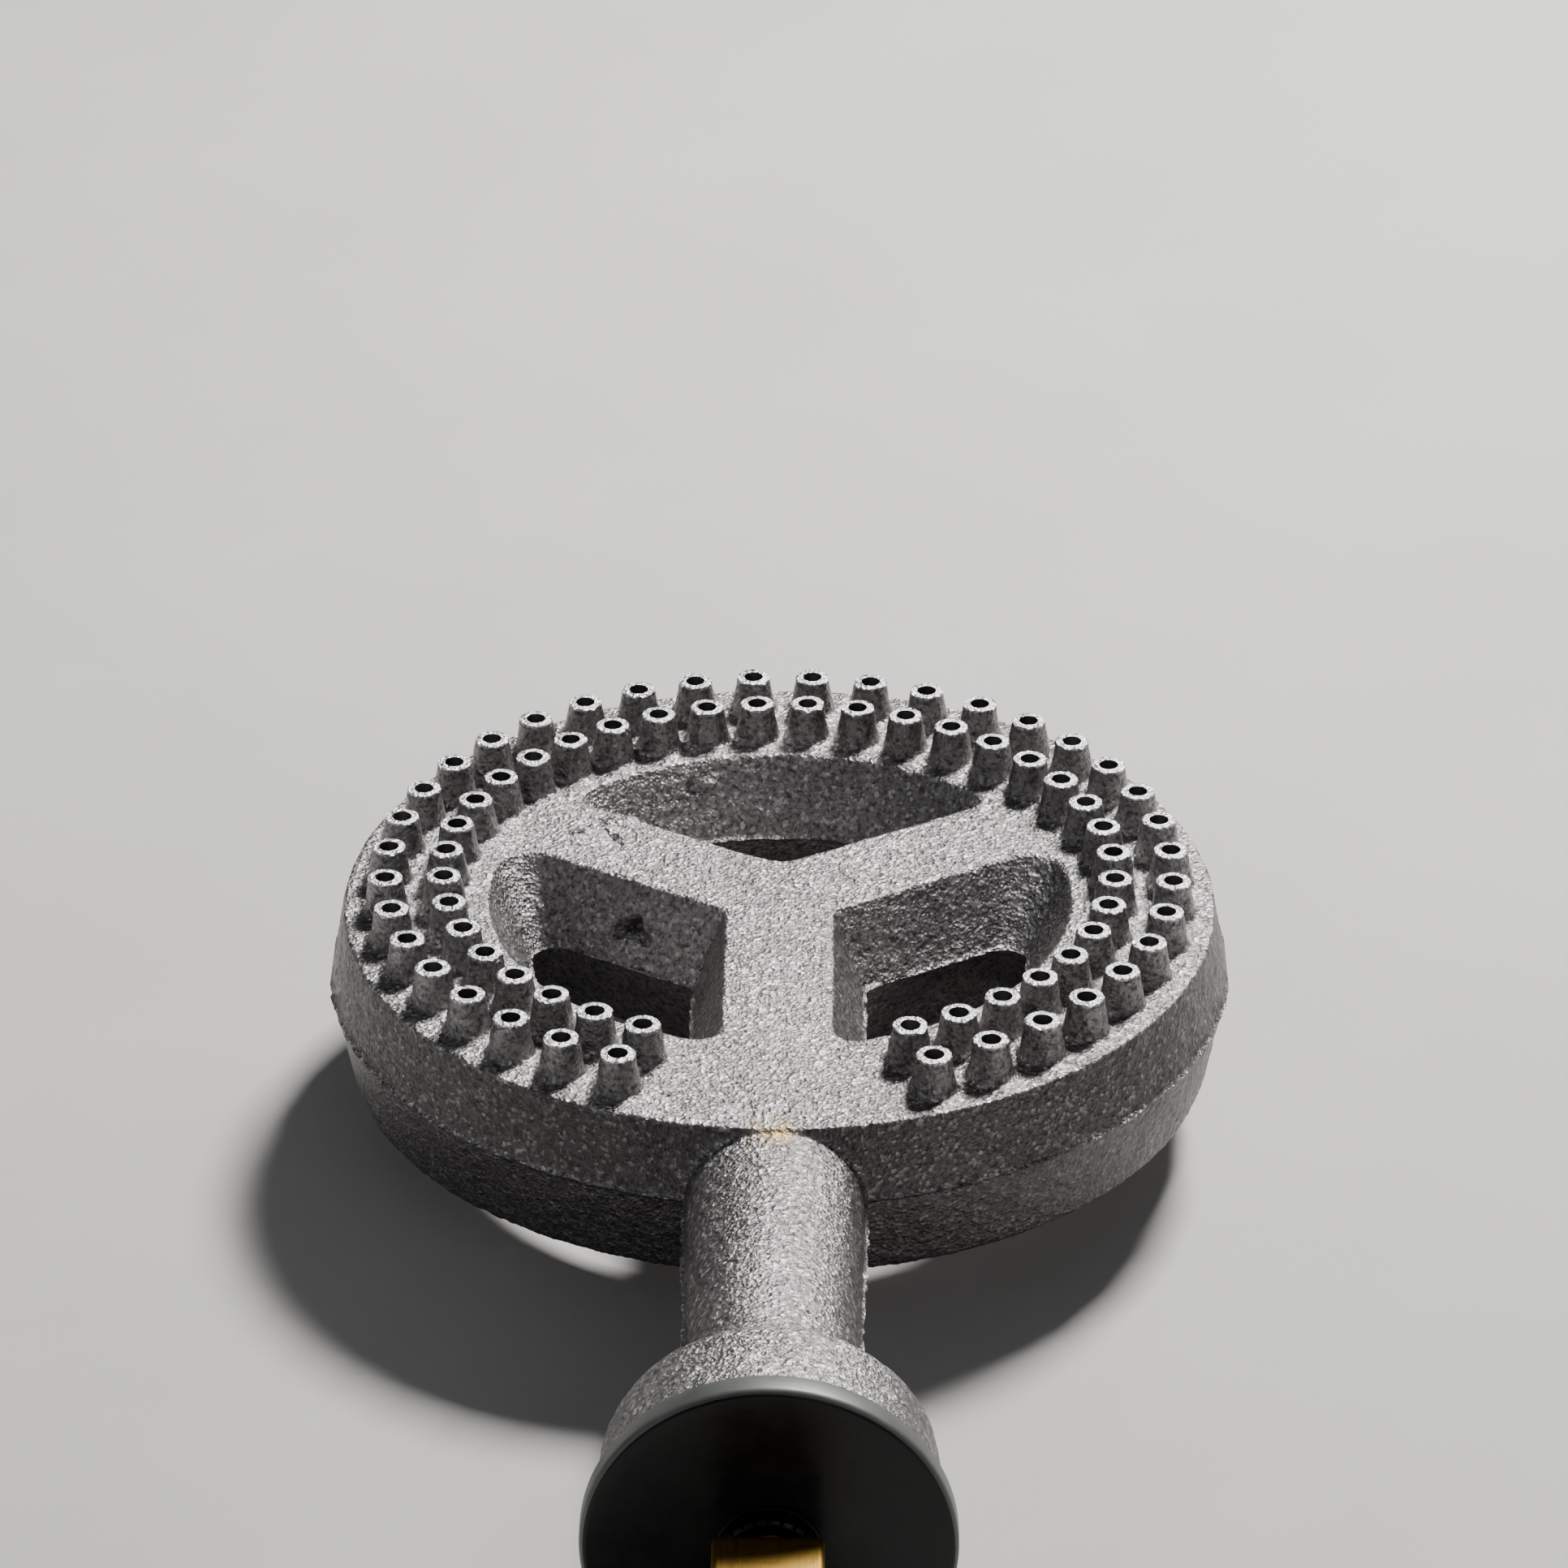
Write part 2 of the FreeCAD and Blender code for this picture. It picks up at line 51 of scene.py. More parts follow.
# Heights and places that the frame gives
DISC_LOW, DISC_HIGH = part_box("air_shutter_disc")
CAST_LOW, CAST_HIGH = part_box("burner_casting")
AXIS_Z = (DISC_LOW.z + DISC_HIGH.z) / 2
TOP_Z = AXIS_Z + 15.5 * MM
PORT_TIP_Z = AXIS_Z + 23.4 * MM
TUBE_JOIN = (0, -89 * MM, TOP_Z - 0.5 * MM)
BLOCK_BACK_Y = DISC_LOW.y - 9.5 * MM

# Where the casting's tints change: the ring ends at RING_FRONT_Y, towards the tube, and its outer
# walls lie beyond OUTER_WALL_R from the middle of its top.
RING_FRONT_Y = -95 * MM
OUTER_WALL_R = 86 * MM

# The casting's skin: its mesh, sand grain and lumps, and the flash at the mould's parting line,
# which stands on walls whose normals are level by more than UPRIGHT_SHARE
SKIN_VOXEL = 0.6 * MM
SKIN_SMOOTHING = 3
GRAIN_SIZE = 2.1 * MM
GRAIN_DEPTH = 0.14 * MM
LUMP_SIZE = 8 * MM
LUMP_DEPTH = 0.20 * MM
LUMP_OFFSET = (7.1, 3.3, 1.7)
RAGGED_SIZE = 2.2 * MM
RAGGED_OFFSET = (2.9, 8.8, 5.1)
FLASH_HALF = 0.6 * MM
FLASH_OUT = 0.8 * MM
UPRIGHT_SHARE = 0.6

# Casting faults: (x, y, z) of the middle in mm, reach in mm, and depth in mm (raised if negative).
FAULTS = (
    ((-29.6, 1.9, 26.4), 2.1, 2.8),
    ((-31.6, 2.5, 25.4), 1.7, 2.2),
    ((-30.4, 2.0, 24.0), 1.8, 2.2),
    ((-28.2, 1.0, 24.6), 1.6, 1.9),
    ((-32.8, 3.1, 23.6), 1.9, 1.9),
    ((-25.2, -0.4, 26.3), 1.6, 0.9),
    ((-27.4, -0.1, 23.7), 2.0, 1.7),
    ((-23.1, -3.0, 22.4), 1.5, 0.7),
    ((-35.9, 6.1, 26.7), 1.6, 0.8),
    ((-32.7, 2.9, 22.6), 2.0, 1.6),
    ((-35.0, 3.4, 26.5), 2.2, -0.5),
    ((-27.5, 0.6, 28.0), 2.0, -0.5),
    ((-38.6, 3.6, 20.6), 1.6, 0.8),
    ((-40.8, 4.4, 19.0), 1.3, 0.7),
    ((-36.4, 2.9, 21.5), 1.2, 0.7),
    ((-18.6, 54.0, 28.7), 1.7, 1.2),
    ((-16.4, 54.6, 26.4), 1.3, 0.9),
    ((-15.5, 55.0, 29.0), 1.6, -0.8),
    ((16.0, 54.1, 27.0), 1.3, 0.7),
    ((33.0, -6.0, 16.0), 1.6, 0.8),
    ((-61.0, -54.0, 12.0), 1.8, 0.7),
    ((58.0, -62.0, 24.0), 1.5, 0.6),
)

# Lines on the top of the rear left spoke: start and end as (x, y) in mm, reach, and depth in mm.
SCRATCHES = (
    ((-42.0, 26.0), (-37.5, 30.0), 1.2, -0.8),
    ((-37.5, 30.0), (-28.0, 33.0), 1.2, -0.9),
    ((-37.0, 28.4), (-33.0, 21.6), 1.1, 0.75),
)

# Specks of iron on the top, and how far the finished skin stays inside the CAD box
CRUMBS = 46
CRUMB_SEED = 11
BOX_MARGIN = 0.02 * MM

# Gas ports: their places, bores, bosses, and the ragged burrs of their rims
PORT_ROWS = (68.2 * MM, 80.0 * MM)
PORTS_PER_ROW = 36
PORT_STEP = math.radians(9)
PORT_HOLE_R = 2.0 * MM
PORT_PIN_R = 2.6 * MM
PORT_LAND_R = 3.35 * MM
PORT_BASE_R = 4.8 * MM
PORT_SHARP = 0.5 * MM
PORT_TRUED = 1.8 * MM
BURR_SIZE = 0.8 * MM
BURR_OUT = 0.3 * MM
BURR_DEPTH = 0.35 * MM
WALL = 4.0 * MM

# The part of the casting that holds port tips: inside this radius, above this height
PORT_ZONE_R = PORT_ROWS[-1] + 2 * PORT_BASE_R
PORT_ZONE_LOW = PORT_TIP_Z - 2 * MM

# The holder: the spud behind its bar, the inlet in its front, the gas's way to the jet, and the
# key of the washer in its keyway
SPUD_R = 6.35 * MM
SPUD_PITCH = 1.27 * MM
SPUD_THREAD = 0.62 * MM
SPUD_RUN_OUT = 0.9 * MM
INLET_R = 5.8 * MM
INLET_PITCH = 1.41 * MM
INLET_THREAD = 0.75 * MM
INLET_DEPTH = 14 * MM
BAR_EDGE = 1.1 * MM
GAS_BORE_R = 3.2 * MM
JET_R = 0.9 * MM
KEYWAY_HALF = 1.2 * MM
KEY_HALF = 1.1 * MM

# Gap between the spud and a bore round it: in the fixed pieces, and in those of the shutter
FIXED_FIT = 0.05 * MM
SLIDING_FIT = 0.06 * MM

# Hexagon sockets, across the flats
CORE_PLUG_SOCKET = 6.35 * MM
TAP_PLUG_SOCKET = 4.76 * MM
SOCKET_DEPTH = 4 * MM

# The camera, placed as the photograph's was
CAMERA_AZIMUTH = math.radians(0.5)
CAMERA_ELEVATION = math.radians(29.23)
CAMERA_DISTANCE = 1375.6 * MM
CAMERA_RIGHT = 0.92 * MM
CAMERA_UP = 16.06 * MM
CAMERA_LENS = 155.5

# The floor and its backdrop
FLOOR_GAP = 0.6 * MM
FLOOR_HALF_WIDTH = 6.0
FLOOR_FRONT_Y = -3.0
BACKDROP_Y = 2.2
BACKDROP_HEIGHT = 2.4
BACKDROP_BEND_R = 0.9
BACKDROP_BEND_STEPS = 16

# A box's faces, where its corners run through x, then y, then z, low before high
BOX_FACES = ((0, 1, 3, 2), (4, 6, 7, 5), (0, 4, 5, 1), (2, 3, 7, 6), (0, 2, 6, 4), (1, 5, 7, 3))


# ---------------------------------------------------------------- mesh helpers


def add_object(name, data):
    obj = bpy.data.objects.new(name, data)
    bpy.context.scene.collection.objects.link(obj)
    return obj


def mesh_from(name, verts, faces):
    mesh = bpy.data.meshes.new(name)
    mesh.from_pydata([tuple(v) for v in verts], [], faces)
    bm = bmesh.new()
    bm.from_mesh(mesh)
    bmesh.ops.recalc_face_normals(bm, faces=bm.faces)
    bm.to_mesh(mesh)
    bm.free()
    mesh.update()
    return mesh


def axis_point(radius, angle, y):
    """The point at a radius and an angle from the tube's axis."""
    return (radius * math.cos(angle), y, AXIS_Z + radius * math.sin(angle))


def turned(name, rows, segments=96, radius_at=None):
    """A closed ring turned on the tube's axis. rows are (y, radius) round its section, in order.

    radius_at(row, angle) may return another (y, radius) for a row, as a nut needs.
    """
    verts = []
    for row, (y, radius) in enumerate(rows):
        for i in range(segments):
            angle = 2 * math.pi * i / segments
            at_y, at_r = radius_at(row, angle) if radius_at else (y, radius)
            verts.append(axis_point(at_r, angle, at_y))
    faces = []
    count = len(rows)
    for row in range(count):
        below = row * segments
        above = (row + 1) % count * segments
        for i in range(segments):
            j = (i + 1) % segments
            faces.append((below + i, below + j, above + j, above + i))
    return add_object(name, mesh_from(name, verts, faces))


def turned_cone(name, low_y, low_r, high_y, high_r, segments=72):
    """A closed cone or cylinder on the tube's axis."""
    verts = [(0, low_y, AXIS_Z), (0, high_y, AXIS_Z)]
    for y, r in ((low_y, low_r), (high_y, high_r)):
        verts += [axis_point(r, 2 * math.pi * i / segments, y) for i in range(segments)]
    faces = []
    for i in range(segments):
        j = (i + 1) % segments
        faces.append((0, 2 + j, 2 + i))
        faces.append((1, 2 + segments + i, 2 + segments + j))
        faces.append((2 + i, 2 + j, 2 + segments + j, 2 + segments + i))
    return add_object(name, mesh_from(name, verts, faces))


def joined_cylinders(name, places, radius, low, high, segments=32):
    """Upright closed cylinders in one mesh, for filling or drilling."""
    verts, faces = [], []
    for x, y in places:
        start = len(verts)
        for z in (low, high):
            for i in range(segments):
                angle = 2 * math.pi * i / segments
                verts.append((x + radius * math.cos(angle), y + radius * math.sin(angle), z))
        bottom = list(range(start, start + segments))
        top = list(range(start + segments, start + 2 * segments))
        faces.append(bottom[::-1])
        faces.append(top)
        for i in range(segments):
            j = (i + 1) % segments
            faces.append((bottom[i], bottom[j], top[j], top[i]))
    return add_object(name, mesh_from(name, verts, faces))


def box_object(name, low, high):
    corners = [(x, y, z) for x in (low[0], high[0]) for y in (low[1], high[1]) for z in (low[2], high[2])]
    return add_object(name, mesh_from(name, corners, BOX_FACES))


def thread_phase(y, angle, pitch):
    """0 at a thread's root and 1 at its crest, for a right-hand thread along Y."""
    turn = (y / pitch + angle / (2 * math.pi)) % 1.0
    return 1 - abs(2 * turn - 1)


def threaded_bar(name, radius, pitch, low_y, high_y, depth, lead=0.0):
    """A closed bar with a right-hand thread on it, a little flat at its crests.

    lead is the length in which the thread runs out at each end.
    """
    rows_per_turn, segments = 10, 72
    count = max(2, round((high_y - low_y) / pitch * rows_per_turn))
    verts = [(0, low_y, AXIS_Z)]
    for row in range(count + 1):
        y = low_y + (high_y - low_y) * row / count
        inset = max(0.0, 1 - min(y - low_y, high_y - y) / lead) if lead else 0.0
        for i in range(segments):
            angle = 2 * math.pi * i / segments
            crest = min(1.0, 1.35 * thread_phase(y, angle, pitch))
            verts.append(axis_point(radius - depth * max(1 - crest, inset), angle, y))
    verts.append((0, high_y, AXIS_Z))
    faces = []
    last = len(verts) - 1
    for i in range(segments):
        j = (i + 1) % segments
        faces.append((0, 1 + j, 1 + i))
        top = 1 + count * segments
        faces.append((last, top + i, top + j))
    for row in range(count):
        below = 1 + row * segments
        above = below + segments
        for i in range(segments):
            j = (i + 1) % segments
            faces.append((below + i, below + j, above + j, above + i))
    return add_object(name, mesh_from(name, verts, faces))


def rounded_section(corners, edge):
    """A closed section of (y, radius) points, with each corner rounded."""
    rows = []
    count = len(corners)
    steps = 4
    for i in range(count):
        before, at, after = (Vector(corners[(i + k) % count]) for k in (-1, 0, 1))
        to_before = (before - at).normalized()
        to_after = (after - at).normalized()
        start = at + to_before * edge
        end = at + to_after * edge
        for step in range(steps + 1):
            t = step / steps
            rows.append(tuple((1 - t) ** 2 * start + 2 * t * (1 - t) * at + t**2 * end))
    return rows


def washer_section(low, high, bore, edge):
    """A flat washer's rounded section, from its box and its bore's radius."""
    outer = (high.x - low.x) / 2
    return rounded_section([(low.y, bore), (low.y, outer), (high.y, outer), (high.y, bore)], edge)


def applied(obj):
    """Bakes the object's modifiers into its mesh."""
    depsgraph = bpy.context.evaluated_depsgraph_get()
    mesh = bpy.data.meshes.new_from_object(obj.evaluated_get(depsgraph))
    old = obj.data
    obj.modifiers.clear()
    obj.data = mesh
    bpy.data.meshes.remove(old)
    return obj


def cut(obj, tool, operation="DIFFERENCE"):
    """Cuts a tool out of an object, or joins it on, and removes the tool."""
    mod = obj.modifiers.new("cut", "BOOLEAN")
    mod.operation = operation
    mod.solver = "MANIFOLD"
    mod.object = tool
    applied(obj)
    bpy.data.objects.remove(tool)
    return obj


def bevelled(obj, width, segments, angle=30):
    mod = obj.modifiers.new("edge", "BEVEL")
    mod.width = width
    mod.segments = segments
    mod.limit_method = "ANGLE"
    mod.angle_limit = math.radians(angle)
    return applied(obj)


def shade_smooth(obj, angle=35):
    """Smooth shading, with edges sharper than the angle (in degrees) left sharp."""
    obj.data.shade_smooth()
    bm = bmesh.new()
    bm.from_mesh(obj.data)
    limit = math.radians(angle)
    for edge in bm.edges:
        sharp = len(edge.link_faces) == 2 and edge.calc_face_angle(0) > limit
        edge.smooth = not sharp
    bm.to_mesh(obj.data)
    bm.free()
    return obj


def dress(obj, *slots):
    obj.data.materials.clear()
    for material in slots:
        obj.data.materials.append(material)
    return obj


# ---------------------------------------------------------------- materials


class Nodes:
    """Short names for building one node material."""

    def __init__(self, name):
        self.material = bpy.data.materials.new(name)
        self.material.use_nodes = True
        self.tree = self.material.node_tree
        self.shader = self.tree.nodes["Principled BSDF"]
        self.coords = self.tree.nodes.new("ShaderNodeTexCoord").outputs["Object"]

    def node(self, kind, **inputs):
        made = self.tree.nodes.new(kind)
        for key, value in inputs.items():
            self.set(made.inputs[key.replace("_", " ")], value)
        return made

    def set(self, socket, value):
        if isinstance(value, bpy.types.NodeSocket):
            self.tree.links.new(value, socket)
        else:
            socket.default_value = value

    def noise(self, scale, detail=3.0, rough=0.55, coords=None, distort=0.0):
        made = self.node("ShaderNodeTexNoise", Scale=scale, Detail=detail, Roughness=rough)
        made.inputs["Distortion"].default_value = distort
        self.set(made.inputs["Vector"], coords or self.coords)
        return made.outputs["Fac"]

    def cells(self, scale):
        """Cells like sand grains, each with a colour of its own and the distance from its middle."""
        return self.node("ShaderNodeTexVoronoi", Scale=scale, Vector=self.coords).outputs

    def math(self, operation, a, b):
        made = self.tree.nodes.new("ShaderNodeMath")
        made.operation = operation
        self.set(made.inputs[0], a)
        self.set(made.inputs[1], b)
        return made.outputs[0]

    def times(self, a, b):
        return self.math("MULTIPLY", a, b)

    def plus(self, a, b):
        return self.math("ADD", a, b)

    def span(self, value, low, high, to_low=0.0, to_high=1.0, smooth=False):
        """Maps low..high to to_low..to_high and holds the ends."""
        made = self.node("ShaderNodeMapRange", Value=value)
        made.interpolation_type = "SMOOTHSTEP" if smooth else "LINEAR"
        for key, number in (("From Min", low), ("From Max", high), ("To Min", to_low), ("To Max", to_high)):
            made.inputs[key].default_value = number
        return made.outputs["Result"]

    def mix(self, share, a, b):
        """Colour a, with the given share of colour b."""
        made = self.tree.nodes.new("ShaderNodeMix")
        made.data_type = "RGBA"
        self.set(made.inputs["Factor"], share)
        self.set(made.inputs["A"], a)
        self.set(made.inputs["B"], b)
        return made.outputs["Result"]

    def bump(self, height, distance, strength):
        made = self.node("ShaderNodeBump", Height=height, Distance=distance, Strength=strength)
        return made.outputs["Normal"]

    def axes(self):
        return self.node("ShaderNodeSeparateXYZ", Vector=self.coords).outputs

    def away(self, place):
        """Distance from a place."""
        made = self.tree.nodes.new("ShaderNodeVectorMath")
        made.operation = "DISTANCE"
        self.set(made.inputs[0], self.coords)
        made.inputs[1].default_value = place
        return made.outputs["Value"]

    def near(self, place, reach):
        """One at a place, falling to zero at the given reach from it."""
        return self.span(self.away(place), 0.0, reach, 1.0, 0.0, smooth=True)

    def upward(self):
        """How far the face points up: 1 for a top, 0 for a wall."""
        geometry = self.tree.nodes.new("ShaderNodeNewGeometry")
        return self.node("ShaderNodeSeparateXYZ", Vector=geometry.outputs["Normal"]).outputs["Z"]

    def stretched(self, scale, location=(0, 0, 0)):
        """Object coordinates moved and scaled, for marks that run one way."""
        made = self.node("ShaderNodeMapping", Vector=self.coords)
        made.inputs["Scale"].default_value = scale
        made.inputs["Location"].default_value = location
        return made.outputs["Vector"]

    def finish(self, color, rough, normal=None, **fixed):
        """Links colour, roughness and normal, sets the shader's fixed inputs, and gives the material."""
        self.set(self.shader.inputs["Base Color"], color)
        self.set(self.shader.inputs["Roughness"], rough)
        if normal is not None:
            self.set(self.shader.inputs["Normal"], normal)
        for key, value in fixed.items():
            self.shader.inputs[key.replace("_", " ")].default_value = value
        return self.material


def rgb(red, green, blue):
    return (red, green, blue, 1.0)


def iron_skin_tint(nodes, coarse):
    """Bright grey metal with browner patches, dark between the coarse grains."""
    patches = nodes.noise(46.0, 5.0, 0.6)
    streaks = nodes.noise(9.0, 3.0, 0.5)
    tint = nodes.mix(nodes.span(patches, 0.32, 0.68), rgb(0.25, 0.237, 0.24), rgb(0.365, 0.35, 0.352))
    tint = nodes.mix(nodes.span(streaks, 0.35, 0.65, 0.0, 0.4), tint, rgb(0.235, 0.218, 0.208))
    return nodes.mix(nodes.span(coarse, 0.36, 0.55, 0.85, 0.0), tint, rgb(0.06, 0.055, 0.054))


def wall_painted_shade(nodes, tint):
    """Painted shade: darkens the upright and downward faces of the outer walls, the tube and the bell."""
    outside = nodes.span(nodes.away((0, 0, TOP_Z)), OUTER_WALL_R, OUTER_WALL_R + 2 * MM)
    # Painted shade: the further a face turns from pointing up, the darker its colour
    painted_shade = nodes.times(outside, nodes.span(nodes.upward(), 0.2, 0.75, 0.78, 0.0))
    return nodes.mix(painted_shade, tint, rgb(0.045, 0.04, 0.04))


def port_rims(nodes, tint):
    """Brightens the lands of the ports, down to a ragged line below the tips."""
    axes = nodes.axes()
    ragged = nodes.span(nodes.noise(1200.0, 3.0, 0.6), 0.3, 0.7, -0.3 * MM, 0.3 * MM)
    rim = nodes.span(nodes.plus(axes["Z"], ragged), PORT_TIP_Z - 0.6 * MM, PORT_TIP_Z - 0.3 * MM)
    rim = nodes.times(rim, nodes.span(axes["Y"], RING_FRONT_Y, RING_FRONT_Y + MM))
    crystals = nodes.span(nodes.noise(1900.0, 3.0, 0.8), 0.40, 0.56, 0.0, 1.0)
    return nodes.mix(nodes.times(rim, crystals), tint, rgb(0.84, 0.83, 0.84))


def join_stain(nodes, tint):
    """The tan stain where the tube meets the ring."""
    stain = nodes.near(TUBE_JOIN, 7 * MM)
    stain = nodes.times(stain, nodes.span(nodes.noise(330.0, 4.0, 0.6), 0.35, 0.6))
    return nodes.mix(nodes.times(stain, 0.8), tint, rgb(0.42, 0.29, 0.11))


def cast_iron_material():
    """Shot-cleaned grey iron: a bright metal skin of sand grain with painted glints on its tops and painted
    shade on its outer walls, rubbed bright on the port rims.
    """
    nodes = Nodes("cast_iron")
    grain = nodes.cells(1350.0)
    sand = nodes.cells(620.0)
    fine = nodes.noise(2600.0, 3.0, 0.7)
    coarse = nodes.noise(900.0, 4.0, 0.65)
    tint = wall_painted_shade(nodes, iron_skin_tint(nodes, coarse))
    cell = nodes.node("ShaderNodeSeparateColor", Color=grain["Color"]).outputs
    # Painted glints: single sand grains turned near white in the base colour, strong on faces that point up
    # into the light, faint on walls in shade
    lit_tops = nodes.span(nodes.upward(), 0.1, 0.8, 0.1, 0.7)
    glint = nodes.times(nodes.span(cell["Red"], 0.76, 0.97), lit_tops)
    tint = nodes.mix(glint, tint, rgb(0.86, 0.85, 0.84))
    tint = join_stain(nodes, port_rims(nodes, tint))
    polish = nodes.span(cell["Green"], 0.0, 1.0, 0.24, 0.44)
    rough = nodes.plus(polish, nodes.span(fine, 0.3, 0.7, 0.0, 0.1))
    height = nodes.times(grain["Distance"], 0.7)
    height = nodes.plus(height, nodes.times(sand["Distance"], 0.6))
    height = nodes.plus(height, coarse)
    height = nodes.plus(height, nodes.times(fine, 0.35))
    height = nodes.times(height, nodes.span(nodes.upward(), 0.0, 0.7, 0.6, 1.05))
    return nodes.finish(tint, rough, nodes.bump(height, 0.36 * MM, 1.0), Metallic=0.93)


def drilled_material():
    """Walls of the drilled holes: darker, with fine turning lines."""
    nodes = Nodes("drilled_iron")
    lines = nodes.noise(900.0, 2.0, 0.5, nodes.stretched((0.3, 0.3, 6.0)))
    soot = nodes.noise(160.0, 3.0)
    tint = nodes.mix(nodes.span(soot, 0.35, 0.65), rgb(0.10, 0.097, 0.095), rgb(0.24, 0.232, 0.228))
    rough = nodes.span(lines, 0.3, 0.7, 0.35, 0.6)
    return nodes.finish(tint, rough, nodes.bump(lines, 0.08 * MM, 0.6), Metallic=0.85)


def brass_material():
    """Free-cutting brass bar: drawn lines along it, a little tarnish, and the disc's shadow painted as a
    dark brown band at its back end.
    """
    nodes = Nodes("brass")
    drawn = nodes.noise(260.0, 4.0, 0.6, nodes.stretched((9.0, 0.35, 9.0)))
    tarnish = nodes.noise(45.0, 5.0, 0.62)
    spots = nodes.noise(420.0, 3.0, 0.5)
    tint = nodes.mix(nodes.span(tarnish, 0.30, 0.72), rgb(0.24, 0.14, 0.028), rgb(0.34, 0.208, 0.05))
    tint = nodes.mix(nodes.span(spots, 0.30, 0.40, 0.45, 0.0), tint, rgb(0.15, 0.08, 0.02))
    # Painted shadow of the disc: a dark brown band with a wandering edge across the back end of the bar
    wander = nodes.span(nodes.noise(240.0, 3.0), 0.3, 0.7, -0.5 * MM, 0.5 * MM)
    along = nodes.plus(nodes.axes()["Y"], wander)
    painted_disc_shadow = nodes.span(along, BLOCK_BACK_Y - 2.4 * MM, BLOCK_BACK_Y - 0.5 * MM, 0.0, 0.85, smooth=True)
    tint = nodes.mix(painted_disc_shadow, tint, rgb(0.13, 0.05, 0.022))
    rough = nodes.plus(nodes.span(drawn, 0.3, 0.7, 0.36, 0.52), nodes.span(tarnish, 0.3, 0.7, 0.12, 0.0))
    return nodes.finish(tint, rough, nodes.bump(drawn, 0.05 * MM, 0.5), Metallic=1.0)


def plated_material(name, dark, light, low_rough, high_rough):
    """Plated or oxidised steel with turning marks round the tube's axis."""
    nodes = Nodes(name)
    centred = nodes.stretched((1.0, 1.0, 1.0), (0.0, 0.0, -AXIS_Z))
    rings = nodes.node("ShaderNodeTexWave", Scale=550.0, Distortion=1.2, Detail=2.0, Detail_Scale=2.0)
    rings.wave_type = "RINGS"
    rings.rings_direction = "Y"
    nodes.set(rings.inputs["Vector"], centred)
    mottle = nodes.noise(160.0, 5.0, 0.6)
    tint = nodes.mix(nodes.span(mottle, 0.3, 0.7), dark, light)
    rough = nodes.span(mottle, 0.25, 0.75, low_rough, high_rough)
    return nodes.finish(tint, rough, nodes.bump(rings.outputs["Fac"], 0.02 * MM, 0.35), Metallic=0.9)


def enamel_material():
    """Near-black glossy face with faint orange peel, dust and hairline scratches."""
    nodes = Nodes("black_enamel")
    peel = nodes.noise(520.0, 2.0, 0.5)
    dust = nodes.noise(90.0, 5.0, 0.65)
    hair = nodes.noise(150.0, 2.0, 0.5, nodes.stretched((1.0, 1.0, 22.0)), 0.6)
    dusty = nodes.span(dust, 0.45, 0.75, 0.0, 0.6)
    tint = nodes.mix(dusty, rgb(0.004, 0.004, 0.0038), rgb(0.013, 0.013, 0.0122))
    rough = nodes.plus(nodes.span(dust, 0.3, 0.7, 0.22, 0.36), nodes.span(hair, 0.62, 0.72, 0.0, 0.14))
    normal = nodes.bump(peel, 0.03 * MM, 0.35)
    return nodes.finish(tint, rough, normal, Metallic=0.0, Specular_IOR_Level=0.26)


def rim_material():
    """Bare satin rim of the disc, grey with a slight green cast, turned smooth."""
    nodes = Nodes("satin_rim")
    turning = nodes.noise(300.0, 3.0, 0.5, nodes.stretched((1.0, 26.0, 1.0)))
    wear = nodes.noise(70.0, 4.0, 0.6)
    tint = nodes.mix(nodes.span(wear, 0.3, 0.7), rgb(0.085, 0.091, 0.084), rgb(0.135, 0.143, 0.132))
    rough = nodes.span(turning, 0.3, 0.7, 0.42, 0.56)
    return nodes.finish(tint, rough, nodes.bump(turning, 0.03 * MM, 0.4), Metallic=0.6)


def floor_material():
    nodes = Nodes("pale_floor")
    speckle = nodes.noise(14.0, 3.0)
    tint = nodes.mix(nodes.span(speckle, 0.3, 0.7), rgb(0.46, 0.455, 0.447), rgb(0.49, 0.485, 0.476))
    return nodes.finish(tint, 0.75)


# ---------------------------------------------------------------- the casting


def port_places():
    first = -(PORTS_PER_ROW - 1) / 2
    places = []
    for row_r in PORT_ROWS:
        for i in range(PORTS_PER_ROW):
            angle = math.pi / 2 - PORT_STEP * (first + i)
            places.append((row_r * math.cos(angle), row_r * math.sin(angle)))
    return places


def join_meshes(target, other):
    """Adds the other object's faces to the target's mesh and removes the other."""
    bm = bmesh.new()
    bm.from_mesh(target.data)
    bm.from_mesh(other.data)
    bm.to_mesh(target.data)
    bm.free()
    bpy.data.objects.remove(other)


def scratches():
    """Each of SCRATCHES as a row of faults, one for each millimetre."""
    rows = []
    for start, end, reach, depth in SCRATCHES:
        steps = round(math.dist(start, end))
        for step in range(steps + 1):
            x, y = Vector(start).lerp(Vector(end), step / steps)
            rows.append(((x, y, TOP_Z / MM), reach, depth))
    return rows


def crumbs():
    """Specks of iron left on the top among the rear ports, each as one of FAULTS."""
    rng = random.Random(CRUMB_SEED)
    specks = []
    for _ in range(CRUMBS):
        angle = math.radians(rng.uniform(50, 150))
        ring = rng.uniform(60, 87)
        place = (ring * math.cos(angle), ring * math.sin(angle), TOP_Z / MM)
        specks.append((place, rng.uniform(0.7, 1.4), -rng.uniform(0.3, 0.9)))
    return specks


def vertex_rows(mesh, name):
    """The vertices' places ("co") or normals ("normal") as rows of x, y and z."""
    values = np.empty(len(mesh.vertices) * 3, np.float32)
    mesh.vertices.foreach_get(name, values)
    return values.reshape(-1, 3).astype(float)


def noise_at(places, size, offset=(0, 0, 0)):
    """Smooth noise between about -1 and 1 at each place, with lumps of the given size."""
    shift = Vector(offset)
    return np.array([noise.noise(Vector(place) / size + shift) for place in places])


